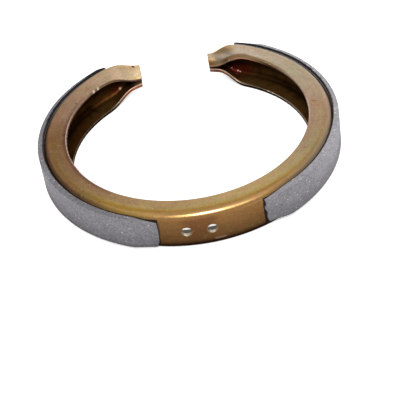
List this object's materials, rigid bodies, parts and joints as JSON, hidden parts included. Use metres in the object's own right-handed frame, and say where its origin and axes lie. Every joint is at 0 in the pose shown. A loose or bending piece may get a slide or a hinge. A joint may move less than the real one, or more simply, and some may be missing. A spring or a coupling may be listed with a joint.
{
  "type": "brake shoe",
  "caption": "Open-ring pressed-steel channel shoe with bonded friction linings on its outside and flattened ends, for a small drum parking brake.",
  "frame": {"origin": "on the ring's axis, in the plane the lower flange rests on", "axes": "+Z along the ring's axis, -Y towards the pair of holes in the band, so the opening between the ends is on the +Y side; +X to the right seen from the holes"},
  "size_m": [0.19, 0.1798, 0.0251],
  "materials": {
    "coated_steel": "satin yellow-brown chromate over pressed steel",
    "friction_lining": "ground, granular friction compound",
    "adhesive": "cured dark adhesive"
  },
  "bodies": {
    "root": {"shoe_channel": "coated_steel", "lining_left": "friction_lining", "lining_right": "friction_lining", "bond_left": "adhesive", "bond_right": "adhesive"}
  },
  "joints": []
}
